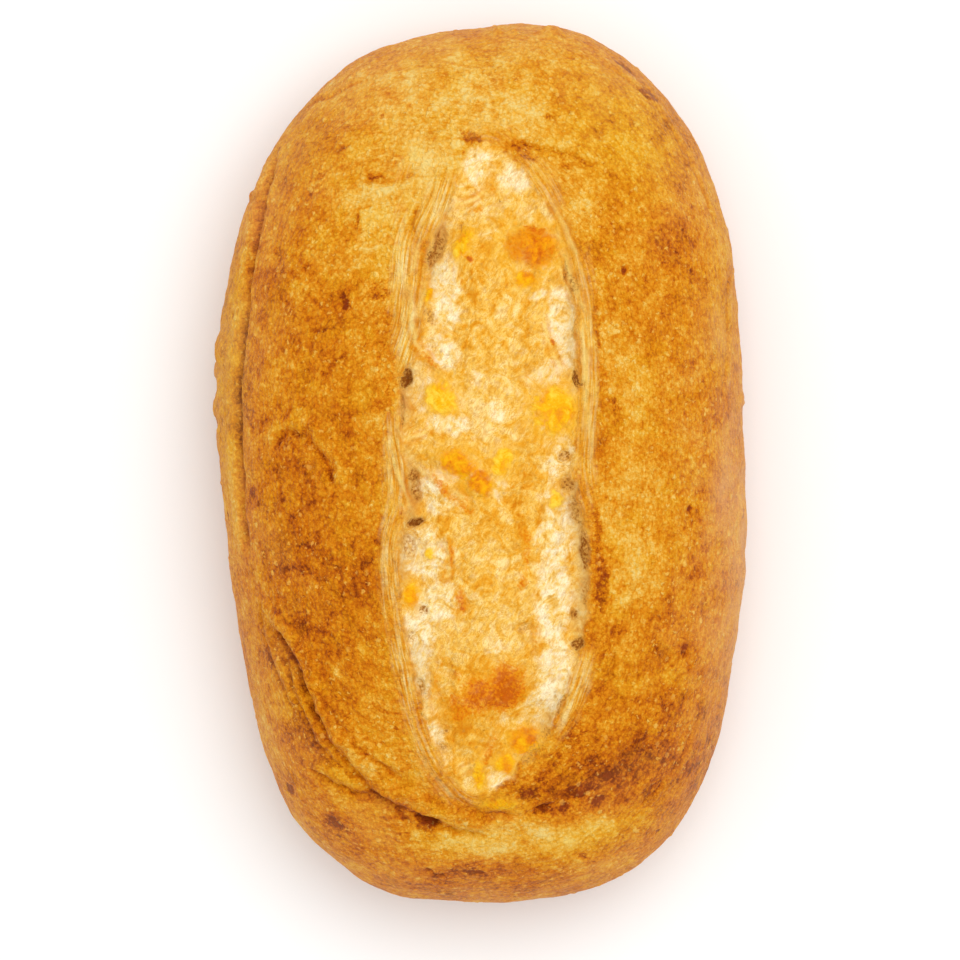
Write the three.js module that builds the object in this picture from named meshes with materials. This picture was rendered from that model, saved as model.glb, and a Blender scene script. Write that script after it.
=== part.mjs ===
// A bloomer loaf: one baked body of bread with a long slash that opened along its top.
// Millimetres, +Z up, +Y along the loaf. The origin is on the table under the middle of the loaf.
import * as THREE from 'three';

// Overall size
const LENGTH = 280;
const WIDTH = 170;
const HEIGHT = 92;

// Body: a rounded-oblong plan under a dome, tucked in below to a flat foot
const HALF_WIDTH = WIDTH / 2;
const HALF_LENGTH = LENGTH / 2;
const PLAN_POWER = 2.58; // 2 is an ellipse, more is squarer
const DOME_POWER = 2.15;
const WAIST_HEIGHT = 33; // height of the widest level
const FOOT_RATIO = 0.74; // size of the foot as a share of the widest level
const WAIST_AT = 0.72; // share of the way from crown to foot edge at which the widest level lies
const CENTRE_DENSITY = 1.35; // above 1 the grid is finer around the slash

// Places where the plan swells or draws in: angle and half-spread in degrees, share of the radius
const PLAN_SWELLS = [
  { angle: 205, spread: 28, share: -0.045 },
  { angle: 130, spread: 35, share: -0.02 },
  { angle: 315, spread: 22, share: 0.03 },
  { angle: 65, spread: 25, share: 0.012 },
];

// Slash: an elongated opening with raised lips, a trough of torn crumb inside them
// and an island of thin crust along the middle
const SLASH_CENTRE_X = 3;
const SLASH_CENTRE_Y = -3;
const SLASH_HALF_WIDTH = 30;
const SLASH_HALF_LENGTH = 101;
const LIP_HEIGHT = 2.2;
const LIP_SPREAD = 9;
const TROUGH_DEPTH = 5.5;
const TROUGH_INSET = 9.5; // distance from the lip in to the trough's deepest line
const TROUGH_SPREAD = 6.5;
const ISLAND_DROP = 1.5;
const ISLAND_INSET = 14;

// Ledge: a fold low on the -X side, with the dough below it pushed out
const LEDGE_ANGLE = 163;
const LEDGE_SPREAD = 36;
const LEDGE_HEIGHT = 57;
const LEDGE_GROOVE = { depth: 2.6, spread: 6 };
const LEDGE_BULGE = { height: 2.4, below: 14, spread: 11 };

// End fold: a crease that crosses the -X, -Y shoulder, with a soft ridge on its upper side
const FOLD_PATH = [
  [-76, -44],
  [-66, -56],
  [-56, -74],
  [-42, -94],
  [-20, -109],
  [6, -117],
];
const FOLD_GROOVE = { depth: 2.2, spread: 5 };
const FOLD_RIDGE = { height: 1.5, offset: 9, spread: 8 };

// Slow swells over the whole crust: waves per millimetre on each axis, height and phase
const CRUST_SWELLS = [
  { x: 0.055, y: 0.031, z: 0.02, height: 0.7, phase: 0.4 },
  { x: -0.036, y: 0.064, z: 0.05, height: 0.6, phase: 2.1 },
  { x: 0.021, y: -0.047, z: 0.09, height: 0.5, phase: 4.4 },
];
const FOOT_FADE = 16; // height over which the surface features die away towards the foot

// Grid of the skin: cells across the width and along the length
const CELLS_ACROSS = 72;
const CELLS_ALONG = 64;

const CRUST_COLOUR = 0xd58a32;

const DEGREE = Math.PI / 180;

function bell(distance, spread) {
  return Math.exp(-((distance / spread) ** 2));
}

function smoothStep(from, to, value) {
  return THREE.MathUtils.smoothstep((value - from) / (to - from), 0, 1);
}

// Smallest difference between two angles in degrees
function angleApart(a, b) {
  return Math.abs(THREE.MathUtils.euclideanModulo(a - b + 180, 360) - 180);
}

// Radius of the plan, as a share of the ellipse through its four extremes
function planRadius(angle) {
  const square = Math.abs(Math.cos(angle)) ** PLAN_POWER + Math.abs(Math.sin(angle)) ** PLAN_POWER;
  let radius = square ** (-1 / PLAN_POWER);
  for (const swell of PLAN_SWELLS) {
    radius += swell.share * bell(angleApart(angle / DEGREE, swell.angle), swell.spread);
  }
  return radius;
}

// Distance out and height of the body's outline, for a share of the way from crown to foot edge
function bodyOutline(share) {
  if (share <= WAIST_AT) {
    const turn = (share / WAIST_AT) * (Math.PI / 2);
    const out = Math.sin(turn) ** (2 / DOME_POWER);
    const rise = Math.max(Math.cos(turn), 0) ** (2 / DOME_POWER);
    return { out, height: WAIST_HEIGHT + (HEIGHT - WAIST_HEIGHT) * rise };
  }
  const turn = ((share - WAIST_AT) / (1 - WAIST_AT)) * (Math.PI / 2);
  const out = FOOT_RATIO + (1 - FOOT_RATIO) * Math.cos(turn);
  return { out, height: WAIST_HEIGHT * (1 - Math.sin(turn)) };
}

// Point of the plain body for a place on a square grid that runs from -1 to 1 both ways
function bodyPoint(across, along) {
  const discX = across * Math.sqrt(1 - along ** 2 / 2);
  const discY = along * Math.sqrt(1 - across ** 2 / 2);
  const share = Math.min(Math.hypot(discX, discY), 1);
  const angle = Math.atan2(discY, discX);
  const { out, height } = bodyOutline(share ** CENTRE_DENSITY);
  const radius = out * planRadius(angle);
  return new THREE.Vector3(
    HALF_WIDTH * radius * Math.cos(angle),
    HALF_LENGTH * radius * Math.sin(angle),
    height,
  );
}

// Distance outside the slash's edge, negative inside
function slashDistance(point) {
  const x = (point.x - SLASH_CENTRE_X) / SLASH_HALF_WIDTH;
  const y = (point.y - SLASH_CENTRE_Y) / SLASH_HALF_LENGTH;
  const reach = Math.max(Math.hypot(x, y), 0.001);
  const slope = Math.hypot(x / SLASH_HALF_WIDTH, y / SLASH_HALF_LENGTH) / reach;
  return Math.max((reach - 1) / slope, -SLASH_HALF_WIDTH);
}

function slashRelief(point) {
  if (point.z < WAIST_HEIGHT) return 0;
  const distance = slashDistance(point);
  const lip = LIP_HEIGHT * bell(distance, LIP_SPREAD);
  const trough = TROUGH_DEPTH * bell(distance + TROUGH_INSET, TROUGH_SPREAD);
  const island = ISLAND_DROP * smoothStep(0, ISLAND_INSET, -distance);
  return lip - trough - island;
}

function ledgeRelief(point) {
  const angle = Math.atan2(point.y / HALF_LENGTH, point.x / HALF_WIDTH) / DEGREE;
  const reach = bell(angleApart(angle, LEDGE_ANGLE), LEDGE_SPREAD);
  const above = point.z - LEDGE_HEIGHT;
  const groove = LEDGE_GROOVE.depth * bell(above, LEDGE_GROOVE.spread);
  const bulge = LEDGE_BULGE.height * bell(above + LEDGE_BULGE.below, LEDGE_BULGE.spread);
  return (bulge - groove) * reach;
}

// Signed distance in plan from the end fold, positive on the crown's side
function foldDistance(point) {
  const place = new THREE.Vector2(point.x, point.y);
  let nearest = { distance: Infinity, side: 1 };
  for (let i = 0; i + 1 < FOLD_PATH.length; i += 1) {
    const start = new THREE.Vector2(...FOLD_PATH[i]);
    const step = new THREE.Vector2(...FOLD_PATH[i + 1]).sub(start);
    const offset = place.clone().sub(start);
    const share = THREE.MathUtils.clamp(offset.dot(step) / step.lengthSq(), 0, 1);
    const distance = offset.clone().addScaledVector(step, -share).length();
    if (distance < nearest.distance) {
      nearest = { distance, side: Math.sign(step.cross(offset)) || 1 };
    }
  }
  return nearest.distance * nearest.side;
}

function foldRelief(point) {
  if (point.z < WAIST_HEIGHT) return 0;
  const distance = foldDistance(point);
  const groove = FOLD_GROOVE.depth * bell(distance, FOLD_GROOVE.spread);
  const ridge = FOLD_RIDGE.height * bell(distance - FOLD_RIDGE.offset, FOLD_RIDGE.spread);
  return ridge - groove;
}

function crustSwells(point) {
  let relief = 0;
  for (const swell of CRUST_SWELLS) {
    const wave = swell.x * point.x + swell.y * point.y + swell.z * point.z + swell.phase;
    relief += swell.height * Math.sin(wave);
  }
  return relief;
}

function surfaceRelief(point) {
  const relief = slashRelief(point) + ledgeRelief(point) + foldRelief(point) + crustSwells(point);
  return relief * smoothStep(0, FOOT_FADE, point.z);
}

// Corner points of the skin, row by row, then one point at the middle of the foot
function skinPoints() {
  const points = [];
  for (let row = 0; row <= CELLS_ALONG; row += 1) {
    for (let column = 0; column <= CELLS_ACROSS; column += 1) {
      points.push(bodyPoint((2 * column) / CELLS_ACROSS - 1, (2 * row) / CELLS_ALONG - 1));
    }
  }
  points.push(new THREE.Vector3(0, 0, 0));
  return points;
}

// Numbers of the grid's border points, counter-clockwise seen from above
function borderLoop(number) {
  const loop = [];
  for (let column = 0; column < CELLS_ACROSS; column += 1) loop.push(number(column, 0));
  for (let row = 0; row < CELLS_ALONG; row += 1) loop.push(number(CELLS_ACROSS, row));
  for (let column = CELLS_ACROSS; column > 0; column -= 1) loop.push(number(column, CELLS_ALONG));
  for (let row = CELLS_ALONG; row > 0; row -= 1) loop.push(number(0, row));
  return loop;
}

// Triangles of the skin, facing out, closed below by a fan of flat triangles for the foot
function skinTriangles() {
  const number = (column, row) => row * (CELLS_ACROSS + 1) + column;
  const triangles = [];
  for (let row = 0; row < CELLS_ALONG; row += 1) {
    for (let column = 0; column < CELLS_ACROSS; column += 1) {
      const a = number(column, row);
      const b = number(column + 1, row);
      const c = number(column + 1, row + 1);
      const d = number(column, row + 1);
      const rising = column < CELLS_ACROSS / 2 === row < CELLS_ALONG / 2;
      if (rising) triangles.push(b, c, d, b, d, a);
      else triangles.push(a, b, c, a, c, d);
    }
  }
  const middle = number(CELLS_ACROSS, CELLS_ALONG) + 1;
  const border = borderLoop(number);
  border.forEach((corner, i) => {
    triangles.push(middle, border[(i + 1) % border.length], corner);
  });
  return triangles;
}

function loafGeometry() {
  const geometry = new THREE.BufferGeometry();
  const points = skinPoints();
  geometry.setFromPoints(points);
  geometry.setIndex(skinTriangles());
  geometry.computeVertexNormals();
  const normals = geometry.getAttribute('normal');
  points.forEach((point, i) => {
    const normal = new THREE.Vector3().fromBufferAttribute(normals, i);
    point.addScaledVector(normal, surfaceRelief(point));
  });
  geometry.setFromPoints(points);
  fitToSize(geometry);
  geometry.computeVertexNormals();
  return geometry;
}

// Scale and centre the finished body so that its box is exactly the overall size, foot on the table
function fitToSize(geometry) {
  geometry.computeBoundingBox();
  const box = geometry.boundingBox;
  const size = box.getSize(new THREE.Vector3());
  const centre = box.getCenter(new THREE.Vector3());
  geometry.translate(-centre.x, -centre.y, -box.min.z);
  geometry.scale(WIDTH / size.x, LENGTH / size.y, HEIGHT / size.z);
}

function buildLoaf() {
  const crust = new THREE.MeshStandardMaterial({ color: CRUST_COLOUR, roughness: 0.8, metalness: 0 });
  const loaf = new THREE.Mesh(loafGeometry(), crust);
  loaf.name = 'loaf';
  return loaf;
}

const part = new THREE.Group();
part.name = 'bloomer_loaf';
part.add(buildLoaf());

export default part;
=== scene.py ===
"""A rustic bloomer loaf with one long slash, seen from straight above.

The loaf is one closed mesh, shaped in millimetres from the middle of its foot and then
fitted to the CAD loaf's box. Masks stored on its points tell its material what lies where.
"""
import math
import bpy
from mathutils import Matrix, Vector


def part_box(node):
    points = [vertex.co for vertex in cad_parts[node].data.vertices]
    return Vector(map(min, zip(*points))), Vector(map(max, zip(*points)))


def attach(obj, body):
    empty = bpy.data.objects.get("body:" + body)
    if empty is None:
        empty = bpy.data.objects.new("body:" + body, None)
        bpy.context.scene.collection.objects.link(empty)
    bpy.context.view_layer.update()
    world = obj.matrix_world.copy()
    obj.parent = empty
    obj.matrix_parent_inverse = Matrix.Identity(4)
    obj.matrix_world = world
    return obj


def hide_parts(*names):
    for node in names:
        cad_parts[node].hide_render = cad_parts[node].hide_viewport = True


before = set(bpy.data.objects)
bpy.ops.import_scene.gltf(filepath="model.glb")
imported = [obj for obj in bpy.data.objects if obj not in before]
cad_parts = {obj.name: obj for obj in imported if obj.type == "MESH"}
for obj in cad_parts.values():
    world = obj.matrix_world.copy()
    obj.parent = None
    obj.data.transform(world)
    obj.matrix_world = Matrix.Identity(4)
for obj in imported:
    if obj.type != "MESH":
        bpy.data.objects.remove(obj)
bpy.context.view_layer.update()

from types import SimpleNamespace

import bpy
import numpy as np
from mathutils import Vector

LOAF_LOW, LOAF_HIGH = (np.array(corner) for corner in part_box("loaf"))
MM = 0.001

# Body, in millimetres: a rounded-oblong plan under a dome, tucked in to a flat foot
HALF_WIDTH, HALF_LENGTH, HEIGHT = (LOAF_HIGH - LOAF_LOW) / MM * (0.5, 0.5, 1.0)
PLAN_POWER = 2.58
DOME_POWER = 2.15
WAIST_HEIGHT = 33.0
FOOT_RATIO = 0.74
WAIST_AT = 0.72
CENTRE_DENSITY = 1.2
# Swells of the plan: angle and half-spread in degrees, share of the radius
PLAN_SWELLS = [
    (205, 28, -0.045), (130, 35, -0.02), (315, 22, 0.03), (65, 25, 0.012), (42, 12, 0.014),
    (227, 14, 0.018),
]

# Grid of the skin: cells across and along, and how much coarser the foot's own grid is
CELLS_ACROSS = 640
CELLS_ALONG = 816
FOOT_COARSENESS = 4
FOOT_INSET = 0.985

# Edge of the open slash, from its top end down the left and back up the right
SLASH_EDGE = [
    (0, 101), (-7, 94), (-12, 80), (-17, 68), (-18.5, 55), (-20.5, 42), (-24, 31), (-27, 22), (-27, 10),
    (-25, -2), (-25, -14), (-28, -26), (-27, -40), (-25, -54), (-22, -68), (-18.5, -82), (-12, -95),
    (-3, -104), (7, -101), (16, -91), (25, -78), (30.5, -63), (33.5, -50), (35, -34), (33, -17),
    (30, -4), (30, 10), (31, 26), (30.5, 42), (27.5, 59), (24, 73), (17, 87), (8, 98),
]
# Edge of the thin crust that stayed along the middle of the slash
ISLAND_EDGE = [
    (2, 87), (-8, 82), (-9, 74), (-11, 66), (-9.5, 56), (-10, 44), (-15, 36), (-10, 27), (-8, 18),
    (-13, 10), (-22, 5), (-14, -5), (-8, -13), (-10, -26), (-9, -38), (-8, -48), (-14, -58), (-16, -70),
    (-13, -84), (-7, -97), (2, -101), (7, -90), (6, -80), (13, -74), (18, -62), (16, -48), (15, -34),
    (15, -20), (17, -8), (19, 2), (17, 12), (17, 25), (20, 36), (19, 48), (21, 57), (23, 66), (18, 77),
    (11, 84),
]

# Open cream crumb in the slash: x, y, half-width, half-length, turn in degrees, strength
CREAM = [
    (-1, 93, 5, 6, 0, 0.75), (9, 90, 9, 4, -20, 0.5), (-12, 56, 4.5, 9, 0, 1),
    (-11.5, 46, 4.5, 5, 0, 0.9), (-13, 35, 4, 6, 35, 0.95), (-19, 22, 4.5, 6, 0, 0.85),
    (-11, 12.5, 7, 3.5, -10, 0.85), (4, 15.5, 4, 4, 0, 0.35), (-14, -9, 6, 6.5, 20, 1),
    (-19, -28, 6.5, 8, 0, 0.9), (-15, -43, 6.5, 6.5, 0, 1), (-20.5, -56, 4.5, 9, 10, 0.95),
    (-19, -68, 2.5, 6, 5, 0.9), (-16, -80, 3, 10, 12, 0.65), (25, 46, 4, 9, 5, 1),
    (27, 37, 3, 7, 0, 0.85), (20, 28, 5.5, 3.6, 20, 0.9), (18, 53, 3, 1.4, 20, 0.9),
    (24, 2, 5, 6, 0, 0.7), (23.5, -20, 5.5, 12, 0, 1), (23, -42, 6, 14, 0, 0.95),
    (23.5, -64, 6, 9, 0, 1), (20, -76, 6, 8, -30, 0.95), (12, -82, 5, 2.4, 0, 0.75),
    (5, -8, 4, 3, 0, 0.85), (6, -98.5, 4, 3, 0, 0.7), (-12, -92, 3, 4, 0, 0.45),
    (-2, 26, 3, 3, 20, 0.4), (5, -57, 5, 2, 0, 0.5), (0, 72, 4, 4, 0, 0.35),
]

# Thin crust in the slash that is more golden (change above 0) or paler (below 0): x, y,
# half-width, half-length, turn, change
STAINS = [
    (5, 46, 12, 9, 0, -0.01), (3, -32, 10, 20, 0, -0.04), (0, -80, 13, 10, 0, 0.08),
    (4, 17, 13, 9, 0, -0.08), (0, 79, 9, 6, 0, -0.07), (7, -54, 9, 5, 0, -0.07),
    (-4, 57, 5, 8, 20, 0.06), (-8, -92, 6, 6, 0, 0.05), (13, -16, 3, 12, 0, 0.12),
    (10, 88, 8, 5, -30, -0.06), (2, 66, 6, 8, 0, 0.06), (2, -15, 6, 8, 0, 0.09),
    (0, -65, 7, 4, 0, 0.07),
]

# Pits in the slash: x, y, half-width, half-length, turn in degrees, depth, darkness of the painted
# shade in them
PITS = [
    (-15, 67.5, 1.9, 6.8, -22, 3.5, 0.75), (-16.5, 46, 1.8, 3, 0, 1.6, 0.55),
    (-16, 36.5, 2.2, 1.4, 10, 1.5, 0.45), (-24.5, 27, 2.2, 3.4, -22, 5.5, 1),
    (-26, 19, 1.2, 3.2, 0, 3, 0.6), (-25.5, 13.5, 0.9, 2.6, 5, 2, 0.6), (-22.5, -4, 2, 2, 0, 3.5, 0.75),
    (-21, -8, 1, 3.4, 0, 3, 0.7), (-21.5, -18.5, 2.2, 1.4, 25, 5, 1), (-24, -26, 2, 4.6, 0, 2.6, 0.5),
    (-18.5, -46, 2.2, 1.2, -35, 1.8, 0.7), (-23, -54, 2, 2.4, 0, 2.4, 0.5),
    (-23, -59, 1.1, 1, 0, 1.2, 0.4), (-19.5, -70, 1.1, 2.8, 5, 2.4, 0.6),
    (-12, -89, 1.6, 1.8, 0, 1.8, 0.5), (-12.5, -84, 1.6, 0.8, 15, 1.2, 0.6),
    (26.3, 59, 0.9, 2.6, 5, 2, 0.6), (28.8, 56, 1.4, 3.2, 15, 2.4, 0.55), (29.8, 43, 1, 6, 0, 2, 0.45),
    (30.3, 27, 1.2, 3.4, 15, 3.5, 0.85), (26, 2.5, 1.8, 1.8, 0, 2.4, 0.7),
    (27.5, -6.5, 1.6, 2.6, 25, 3, 0.7), (30.5, -15, 1.8, 6, 15, 3.2, 0.6),
    (33, -27, 1.7, 7, 8, 3.2, 0.8), (33.2, -41, 1.5, 5, 0, 2.6, 0.55),
    (29.8, -47.5, 0.9, 1.8, 10, 2.4, 0.8), (30.8, -56.5, 2.4, 1.6, 40, 3.5, 0.9),
    (25.8, -75, 1.2, 4.6, -28, 2.6, 0.6), (20.5, -84.5, 1.6, 3, -35, 2.4, 0.5),
    (15.5, -91, 2, 4.6, -35, 2.6, 0.5), (12.5, -51.5, 2.6, 2, 0, 1.8, 0.45),
    (-10, -66, 1.8, 1.4, 20, 1.2, 0.4), (21, 57.5, 1.2, 0.7, 10, 1, 0.5),
    (-7.5, 74.5, 0.9, 1.2, -20, 1.4, 0.6), (6, 82.8, 0.7, 0.7, 0, 1, 0.6),
    (-3.5, -66, 0.7, 1.6, -30, 0.8, 0.3),
]

# Melted cheese in the slash: x, y, half-width, half-length, turn, height, depth of orange
CHEESE = [
    (15.5, 67.5, 7.4, 6, -15, 1.5, 0.85), (13.5, 57.5, 3.4, 2.6, 0, 0.9, 0.6),
    (22.5, 17, 6.4, 6.8, 0, 2.6, 0.4), (-13.5, 21, 4.6, 4.8, 25, 1.5, 0.3),
    (-8, 0, 6, 4, -20, 1.6, 0.65), (-1, -6, 4.4, 3.6, -20, 1.3, 0.75), (6.5, 1, 3, 4.4, -15, 1, 0.3),
    (23.6, -11, 2.3, 2.5, 20, 1.5, 0.15), (-17, -28, 1.3, 1.5, 0, 0.5, 0.1),
    (-22.5, -41, 1.8, 3.4, 10, 0.9, 0.55), (-6.5, 69, 2.4, 4.6, -15, 0.8, 0.4),
    (13.5, -87, 4.6, 4.2, 30, 1.3, 0.65), (7, -94, 2.8, 2.6, 0, 0.9, 0.55),
    (-1, -97, 1.8, 4.4, 0, 0.8, 0.35), (5, -106.5, 4.6, 1.6, 0, 0.9, 0.4),
    (-17, 53, 1.6, 2.2, 0, 0.5, 0.4),
]

# Scorched places: x, y, half-width, half-length, turn, height, strength
SCORCHES = [
    (7, -70, 6.8, 8.4, -15, 1, 0.95), (-0.5, -72, 8, 6.6, 20, 0.8, 0.85),
    (-6, -76, 6, 5.4, 0, 0.5, 0.75), (-8, -66, 2, 3, 0, 0.3, 0.55), (11, 68, 3, 4.6, 0, 0.2, 0.6),
    (17, 73, 4.6, 1, -20, 0.3, 0.7), (21.5, 65.5, 1.4, 2.4, 15, 0.2, 0.6),
    (-4.5, 64, 1.7, 0.8, -35, 0.3, 1), (22.3, 38, 1.4, 0.9, -40, 0.3, 1),
    (28, 16.5, 1, 2.4, 10, 0.2, 0.5), (-12.5, -8, 1.5, 7, 42, 0.8, 0.6),
    (-5, -14, 1.7, 4.6, 38, 0.5, 0.55), (-10.2, -28, 1.2, 6, 12, 0.9, 0.7),
    (-12, -36, 1, 2, -60, 0.5, 0.6), (-6.8, -43, 1.4, 5.4, 8, 0.9, 0.75),
    (14, -26, 1.6, 9, -2, 0.5, 0.6), (12.8, -37, 1.3, 2.6, 0, 0.3, 0.6), (17, -55, 1, 9, 12, 0.5, 0.45),
    (-14, -66, 1.3, 9, -15, 0.6, 0.4), (2.5, -90, 1.6, 6.4, -18, 0.6, 0.6),
    (-2, 79, 3, 1.3, 20, 0.4, 0.55), (3, 85.5, 2, 0.8, 20, 0.3, 0.6), (-20, -96, 0.6, 6, 38, 0.3, 0.4),
    (-10, 4, 6, 1.2, 25, 0.5, 0.35), (10, -7, 1.4, 4, -35, 0.4, 0.4), (-18, 33, 1.2, 6.5, 50, 0.8, 0.6),
]

# Stretched pale skin along the slash: x, y, half-width, half-length, turn, strength
LIPS = [
    (-23.5, 46, 4.4, 28, 4, 1), (-27.5, 0, 3.4, 14, 0, 0.9), (-29, -30, 2.8, 18, 0, 0.7),
    (-25, -62, 2.8, 16, 8, 0.7), (-18.5, -88, 3.2, 11, 25, 0.5), (-15, 80, 5, 11, -25, 0.8),
    (-20, 94, 8, 7, 30, 0.25), (33, 24, 2.6, 32, 0, 0.8), (28.5, 60, 3.2, 13, 12, 0.7),
    (29.5, -72, 3, 12, -20, 0.8), (19, 88, 4, 9, 35, 0.5), (2, 104, 7, 3, 0, 0.25),
    (-8, -103, 7, 3, -20, 0.35),
]
# Torn walls under the slash's edge, cut deeper and given painted shade: x, y, half-width, half-length,
# turn, strength
WALLS = [
    (31.5, -28, 6, 28, 3, 0.85), (29.5, 42, 4, 18, 0, 0.7), (20, -84, 6, 14, -35, 0.8),
    (-15, 66, 6, 12, -15, 0.7), (-25, 22, 5, 10, 0, 0.8), (-22, -8, 5, 12, 0, 0.6),
    (-24, -28, 4, 10, 0, 0.5), (-20, -66, 3, 12, 5, 0.5),
]

# Taut bands of dough that cross the slash or run along its edge: path, height, half-width
BANDS = [
    ([(-17, 80), (-21, 66), (-23, 52), (-21.5, 40), (-16, 31), (-8, 23)], 0.9, 0.9),
    ([(-11, 80), (-17, 67), (-19, 54), (-20.5, 44)], 0.8, 0.8),
    ([(-22, 64), (-25, 50), (-24.5, 38)], 0.6, 0.8),
    ([(-28, 14), (-25, 8), (-20, 9), (-15, 13)], 0.5, 0.7),
    ([(-29, 6), (-27, -2), (-24, -10), (-20.5, -17)], 0.8, 0.7),
    ([(-24, -2), (-15, -4), (-8, -9), (-2, -15)], 0.8, 0.8),
    ([(19, 84), (24, 72), (27, 61), (31, 50), (32.5, 36), (32.5, 20), (34.5, 4), (36, -10)], 0.9, 0.9),
    ([(22, 64), (26, 56), (30, 48)], 0.7, 0.7),
    ([(19, 50), (20.5, 40), (23, 33), (28, 27)], 0.45, 0.7),
    ([(10, 32), (14, 26), (20, 24), (27, 22)], 0.35, 0.7),
    ([(-14, -22), (-10.5, -28), (-11, -35), (-15, -37)], 0.8, 0.7),
    ([(-8, -38), (-6.5, -44), (-8, -51)], 0.7, 0.7),
    ([(-12, 6), (-5, 6.5), (3, 5), (10, 5), (17, 3)], 0.3, 0.7),
    ([(-13, -52), (-16, -62), (-15, -74), (-10, -86)], 0.4, 0.8),
    ([(15, -44), (17, -54), (18, -66)], 0.35, 0.8),
    ([(-10, 80), (-5, 82), (0, 85), (5, 86)], 0.6, 0.7),
    ([(8, 73), (14, 74.5), (20, 72), (23, 66)], 0.5, 0.7),
    ([(-20, -90), (-15, -98), (-8, -105)], 0.7, 0.7),
    ([(-9, -97), (0, -92), (6, -82)], 0.5, 0.8),
    ([(20, 85), (25, 76), (30, 64), (33, 54)], 0.6, 0.7),
    ([(-8, 26), (-6, 19), (-2, 13), (1, 10)], 0.3, 0.7),
]

# Browned and embedded places on the crust: x, y, half-width, half-length, turn, strength
SPOTS = [
    (-44, 51, 1.5, 3, 10, 1), (-52, 42, 4, 1, 12, 0.7), (-50, 28, 1.6, 1, 0, 0.6),
    (-44, 33, 1.6, 1.3, 0, 0.6), (-33, 54, 3.6, 4.6, 0, 0.6), (-32, 37.5, 1.4, 0.9, 0, 0.6),
    (-65, 64.5, 1, 2.2, 10, 0.6), (-33.5, 90, 4, 0.9, -12, 0.75), (-23.5, 90.5, 1.2, 1, 0, 0.6),
    (-21, 77, 1.4, 4.6, -14, 0.7), (-40, 77, 0.8, 3.6, -12, 0.7), (-55, 85, 1, 2.4, -20, 0.5),
    (-32.5, 109.5, 1, 1, 0, 0.7), (-51.5, 91, 2.6, 0.8, 30, 0.7), (-52, 116.5, 2, 0.8, 20, 0.6),
    (-41.5, 121.5, 2.2, 0.8, 15, 0.5), (-44.5, 100.5, 1.2, 0.9, 0, 0.5), (-42, 105, 0.8, 1.4, 30, 0.4),
    (46, 126.5, 5, 1.2, -38, 0.8), (53, 117.7, 4.8, 1.3, -32, 0.85), (41, 118.5, 0.9, 2, 35, 0.5),
    (21.5, 109, 1.8, 1.1, 0, 0.75), (52.7, 102.8, 2, 1.1, -20, 0.45), (48, 107, 1.6, 0.8, -35, 0.4),
    (44.7, 60.8, 1, 2.2, -12, 0.9), (37, 68.5, 1.2, 1, 0, 0.5), (51.4, 52, 1, 1.6, -30, 0.45),
    (41.5, 19, 2.2, 3, 0, 0.4), (35.8, 42, 1.9, 6.5, 0, 0.6), (53.5, 5, 1, 1.4, 0, 0.45),
    (66.5, 61, 1, 1, 0, 0.8), (76.5, 52, 0.8, 2.2, 0, 0.5), (65.8, -14.5, 1.2, 1.6, 0, 0.75),
    (39, -4, 1.2, 1.8, 0, 0.45), (42.7, -52.5, 3, 2, 25, 0.5), (56.2, -51.5, 1.6, 1.4, 0, 0.4),
    (64.4, -58.5, 1.1, 2.1, -12, 1), (-73.7, -9.5, 1.8, 3.4, 0, 0.75), (-62.5, -32.8, 1.3, 1, 0, 0.6),
    (-65.5, -47, 1.4, 1.2, 0, 0.7), (-27.5, -82.5, 1.4, 0.8, -20, 0.6), (-37, -86, 5, 0.9, -35, 0.45),
    (-17.7, -113.5, 2.8, 3.4, 15, 0.85), (-47, -114.5, 4.6, 1.4, -35, 0.7),
    (-2.4, -128.8, 4, 0.9, -8, 0.75), (32, -123.5, 1.6, 1.2, 0, 0.6), (-4, 102, 4.4, 2.6, -10, 0.75),
    (-5.8, 98, 1.2, 2.6, -10, 0.6), (12, 99.5, 4.4, 2, -20, 0.6), (15, 96.3, 2.8, 1.8, -12, 0.55),
    (25, 96.5, 3.4, 1.8, -25, 0.5), (26.5, 93.5, 2, 1.2, 0, 0.45), (34, 94, 3.4, 0.7, -18, 0.5),
    (21.5, 91, 1.2, 0.8, 0, 0.4), (28, -84, 3.6, 4.6, -30, 0.55), (21, -93, 5, 5, -35, 0.5),
    (24, -91, 2, 1.2, -20, 0.6), (14.5, -103, 3.4, 2.2, 0, 0.75), (18, -98.5, 2.6, 2, 0, 0.5),
    (31.5, -102.5, 5.4, 2.2, 18, 0.8), (37, -105.5, 3.4, 1.3, 32, 1), (26, -107.5, 3, 2, 10, 0.75),
    (20, -109, 4, 1.2, 10, 0.6), (40, -98, 5, 1.6, 35, 0.6), (36.5, -20, 1.8, 6.5, 5, 0.6),
    (37.8, -37, 2.4, 9.5, -2, 0.65), (36, -47, 0.8, 2.6, 0, 0.45), (34, -65, 1.2, 0.9, 0, 0.4),
    (71, -80, 0.7, 4, -12, 0.5), (77, -35, 0.8, 5, 0, 0.4), (-31, -8, 0.9, 2, 10, 0.4),
    (-33, -24, 0.9, 1.6, 0, 0.45), (-30, 10, 1, 2.2, 0, 0.4), (-49, -2, 1.2, 4.6, 28, 0.5),
    (-60, -62, 3.4, 1.2, -40, 0.5), (-44, -97, 4, 1, -40, 0.5), (62, -100, 2.4, 0.8, 30, 0.4),
    (-26, -65, 0.8, 2.6, 20, 0.35),
]

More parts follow.
